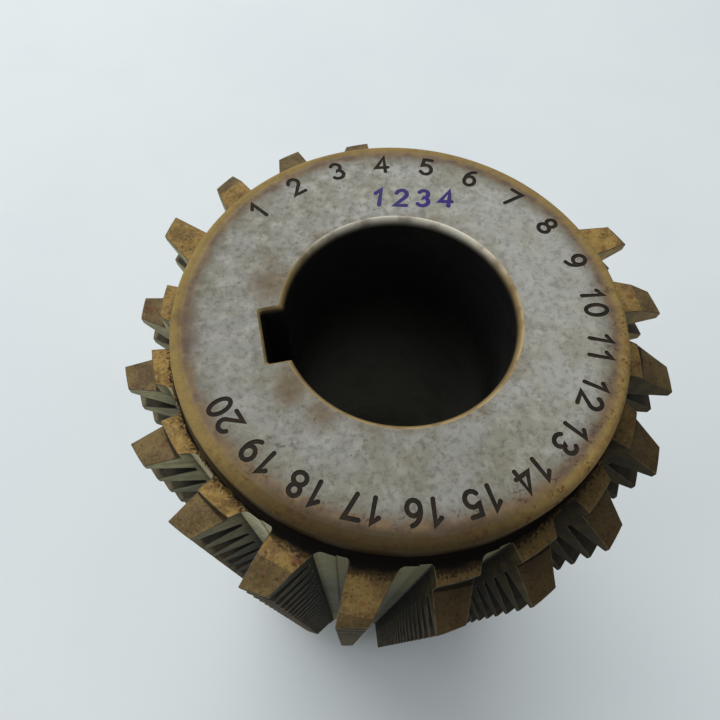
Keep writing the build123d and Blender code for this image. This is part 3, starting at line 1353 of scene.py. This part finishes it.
@dataclass(frozen=True, kw_only=True)
class GashSide(Finish):
    """Walls and floor of the gashes: grey green steel with marks along them, painted shade by side and depth.
    """

    metallic: float = 0.05
    gloss: float = 0.12
    light: Tone = (176, 173, 134)
    dark: Tone = (142, 139, 104)
    oily_light: Tone = (60, 55, 34)
    oily_dark: Tone = (34, 31, 19)
    deep: Tone = (31, 29, 18)
    black: Tone = (14, 13, 10)
    oily_from: float = -0.05
    oily_to: float = 0.55
    floor_radius: float = 40.1
    dirt_reach: float = 2.4
    dirt_share: float = 0.7
    fade_start: float = 9.0
    fade_end: float = 46.0
    along: float = 240.0
    across: float = 900.0

    def paint(self, graph: Graph) -> Look:
        """Marks and clouds near the ends, painted shade by side and depth, and a darker floor edge.

        The floor edge is darker partly from grime and partly as painted shade.
        """
        radius, depth, _, shade_side = graph.place(Place)
        marks = graph.place(ToolMarks, self.along, self.across)[0]
        share = graph.span(marks, 0.36, 0.64)
        # Painted shade: the same marks in a lit and a shaded pair of tones, the shaded pair towards the shade
        # side.
        in_light = graph.blend(share, self.dark, self.light)
        in_shade = graph.blend(share, self.oily_dark, self.oily_light)
        colour = graph.blend(graph.span(shade_side, self.oily_from, self.oily_to), in_light, in_shade)
        colour = graph.coat(colour, graph.clouds(4.0, 4.0, 0.38, 0.62), self.oily_dark, 0.3)
        # Painted shade: darker with depth below the ends.
        colour = graph.coat(colour, graph.span(depth, self.fade_start, self.fade_end), self.deep, 0.96)
        # Darker along the floor's edge: partly grime, partly painted shade in the corner.
        dirt_and_shade = graph.film(graph.minus(radius, self.floor_radius), self.dirt_reach, 0.8, 0.5, 2.2)
        colour = graph.coat(colour, dirt_and_shade, self.black, self.dirt_share)
        colour = graph.coat(colour, graph.specks(0.5, 0.6, 4.0, 0.46), self.black, 0.4)
        return Look(colour, graph.span(marks, 0.3, 0.7, 0.55, 0.72), marks)


@dataclass(frozen=True, kw_only=True)
class BoreWall(Finish):
    """Wall of the bore: dark near the ends, bright further in; both are painted shade and light by depth."""

    name: str = "bore_wall"
    metallic: float = 0.1
    gloss: float = 0.3
    # Dark tone near the ends: painted shade.
    film: Tone = (24, 26, 24)
    # Bright deep steel: painted light, standing in for light that reaches deep into the bore.
    steel: Tone = (222, 224, 212)
    spot: Tone = (60, 60, 54)

    def paint(self, graph: Graph) -> Look:
        """Painted shade near the ends and painted light deeper in, with clouds of darker spots over it."""
        depth = graph.place(Place)[1]
        colour = graph.blend(graph.span(depth, 22.0, 98.0), self.film, self.steel)
        colour = graph.coat(colour, graph.clouds(8.0, 4.0, 0.5, 0.7), self.spot, 0.15)
        marks = graph.place(ToolMarks, 60.0, 900.0)[0]
        return Look(colour, graph.span(marks, 0.3, 0.7, 0.4, 0.55), marks)


@dataclass(frozen=True, kw_only=True)
class BoreEdge(Finish):
    """Rounded edge of the bore: pale, creamy steel on the far side, gold and brown on the near one.

    The far side is brightened as a painted highlight, and the edge darkens inwards as painted shade.
    """

    name: str = "bore_edge"
    metallic: float = 0.2
    gloss: float = 0.4
    cream: Tone = (212, 208, 190)
    gold: Tone = (146, 126, 84)
    brown: Tone = (96, 74, 48)
    dark: Tone = (40, 34, 26)

    def paint(self, graph: Graph) -> Look:
        """Creamy painted highlight to gold by side, brown patches, and painted shade towards the bore."""
        _, depth, near, _ = graph.place(Place)
        patches = graph.clouds(4.0, 4.0, 0.46, 0.64)
        # Painted highlight: the far side of the edge is creamy and bright.
        colour = graph.blend(graph.span(near, -0.95, -0.3), self.cream, self.gold)
        colour = graph.coat(colour, patches, self.brown, 0.5)
        # Painted shade: darker as the rounded edge turns into the bore.
        colour = graph.blend(graph.span(depth, 0.25, 1.6, 0.0, 0.9), colour, self.dark)
        return Look(colour, graph.span(patches, 0.0, 1.0, 0.46, 0.6), graph.grain(0.6, 0.4))


@dataclass(frozen=True, kw_only=True)
class TwoTone(Finish):
    """A finish of two tones in clouds, with a fine third one."""

    first: Tone
    second: Tone
    third: Tone
    size: float
    fine: float = 0.6
    fine_share: float = 0.5
    smooth: float = 0.45
    rough: float = 0.6

    def paint(self, graph: Graph) -> Look:
        """Clouds of two tones, broken up by fine ones."""
        clouds = graph.clouds(self.size, 4.0, 0.4, 0.62)
        colour = graph.blend(clouds, self.first, self.second)
        colour = graph.coat(colour, graph.clouds(self.fine, 3.0, 0.5, 0.72, 0.3), self.third, self.fine_share)
        roughness = graph.span(clouds, 0.0, 1.0, self.smooth, self.rough)
        return Look(colour, roughness, graph.grain(self.fine, 0.3))


@dataclass(frozen=True)
class Lamp:
    """A soft square lamp."""

    name: str
    place: Point3
    aim: Point3
    size: float
    power: float

    def hang(self) -> None:
        """Puts the lamp into the scene."""
        data = bpy.data.lights.new(self.name, "AREA")
        data.size = self.size
        data.energy = self.power
        lamp = put_in_scene(self.name, data)
        lamp.location = self.place
        lamp.rotation_mode = "QUATERNION"
        lamp.rotation_quaternion = (Vector(self.aim) - Vector(self.place)).to_track_quat("-Z", "Y")
        log.info("lamp %s hung", self.name)


@dataclass(frozen=True)
class Studio:
    """Floor, lamps, world and camera."""

    lamps: tuple[Lamp, ...] = (
        Lamp("key", (-0.4, 1.6, 2.2), (0.0, 0.0, 0.15), 2.4, 58.0),
        Lamp("side", (-2.0, 0.2, 1.4), (0.0, 0.0, 0.15), 1.6, 12.0),
    )
    sky: tuple[float, float, float] = (0.97, 0.99, 1.0)
    sky_strength: float = 0.34
    backdrop: Tone = (214, 222, 225)
    camera_place: Point3 = (-0.01947, -0.04887, 0.28558)
    camera_right: Point3 = (0.97822, -0.20624, 0.02346)
    camera_up: Point3 = (0.17431, 0.87758, 0.44665)
    lens: float = 29.455
    sensor: float = 36.0
    clip: tuple[float, float] = (0.005, 50.0)
    floor_half: float = 6.0

    def build(self) -> None:
        """Builds everything round the object."""
        self.floor()
        self.world()
        for lamp in self.lamps:
            lamp.hang()
        self.camera()

    def floor(self) -> None:
        """Pale floor under the hob."""
        bm = bmesh.new()
        bmesh.ops.create_grid(bm, x_segments=8, y_segments=8, size=self.floor_half)
        data = bpy.data.meshes.new("floor")
        bm.to_mesh(data)
        bm.free()
        finish = TwoTone(
            name="pale_floor", first=(221, 228, 230), second=(217, 225, 228), third=(214, 222, 226),
            relief=0.01, size=400.0, fine=60.0, fine_share=0.3, smooth=0.85, rough=0.95,
        )
        data.materials.append(finish.make())
        put_in_scene("floor", data)

    def world(self) -> None:
        """Even surroundings: a weak light for the object, a pale backdrop for the camera."""
        world = bpy.data.worlds.new("surroundings")
        bpy.context.scene.world = world
        world.use_nodes = True
        graph = Graph(world.node_tree)
        light = world.node_tree.nodes["Background"]
        graph.feed(light.inputs["Color"], (*self.sky, 1.0))
        graph.feed(light.inputs["Strength"], self.sky_strength)
        backdrop = graph.put("ShaderNodeBackground", {"Color": linear(self.backdrop), "Strength": 1.0})
        seen = graph.put("ShaderNodeLightPath").outputs["Is Camera Ray"]
        mixed = graph.put("ShaderNodeMixShader", {0: seen, 1: light.outputs[0], 2: backdrop.outputs[0]})
        graph.feed(world.node_tree.nodes["World Output"].inputs["Surface"], mixed.outputs[0])

    def camera(self) -> None:
        """Camera of the photograph."""
        data = bpy.data.cameras.new("camera")
        data.sensor_width = self.sensor
        data.lens = self.lens
        data.clip_start, data.clip_end = self.clip
        right, up = Vector(self.camera_right), Vector(self.camera_up)
        up = (up - right * up.dot(right)).normalized()
        right.normalize()
        rows = zip(right, up, right.cross(up), self.camera_place)
        camera = put_in_scene("camera", data)
        camera.matrix_world = Matrix((*rows, (0, 0, 0, 1)))
        bpy.context.scene.camera = camera


FINISHES: dict[Zone, Finish] = {
    Zone.FACE: HubSteel(),
    Zone.RIM: HubSteel(name="hub_rim", metallic=0.0, gloss=0.06),
    Zone.END: ToothEnd(),
    Zone.END_FLANK: ToothEnd(
        name="end_flanks", gold=(122, 104, 68), brown=(96, 80, 52), pale=(134, 114, 78), root_dirt=0.45,
    ),
    Zone.THREAD: ThreadFlank(),
    # The shade side tones and depth fades of these gash finishes are painted shade.
    Zone.CUTTING: GashSide(
        name="cutting_face", light=(200, 174, 118), dark=(166, 142, 94), oily_light=(84, 71, 44),
        oily_dark=(50, 43, 27), oily_from=0.3, oily_to=0.85, along=500.0, across=240.0,
    ),
    Zone.HEEL: GashSide(name="heel_face"),
    Zone.FLOOR: GashSide(
        name="gash_floor", relief=0.006, light=(210, 204, 170), dark=(198, 192, 158),
        oily_light=(134, 128, 92), oily_dark=(122, 117, 84), oily_from=0.42, oily_to=0.62,
        deep=(84, 80, 58), dirt_share=0.0, fade_start=14.0, fade_end=64.0, along=120.0, across=600.0,
    ),
    Zone.BORE: BoreWall(),
    Zone.ENGRAVED: TwoTone(
        name="engraved_marks", first=(28, 23, 18), second=(46, 38, 28), third=(18, 15, 12),
        gloss=0.15, size=1.5, fine=0.4, smooth=0.6, rough=0.8,
    ),
    Zone.INK: TwoTone(
        name="marker_ink", first=(28, 14, 90), second=(46, 28, 116), third=(20, 10, 66),
        gloss=0.25, size=2.2, fine=0.5,
    ),
    Zone.BORE_EDGE: BoreEdge(),
    Zone.WORN_EDGE: TwoTone(
        name="worn_edges", first=(96, 83, 56), second=(68, 58, 38), third=(42, 36, 24),
        metallic=0.1, gloss=0.3, size=1.6, smooth=0.5,
    ),
}


def main() -> None:
    """Builds the hob, its finishes and the studio."""
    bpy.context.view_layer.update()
    hob = Hob().build()
    for zone in Zone:
        hob.data.materials.append(FINISHES[zone].make())
    Studio().build()
    bpy.context.scene.view_settings.view_transform = "Standard"


if __name__ == "__main__":
    main()
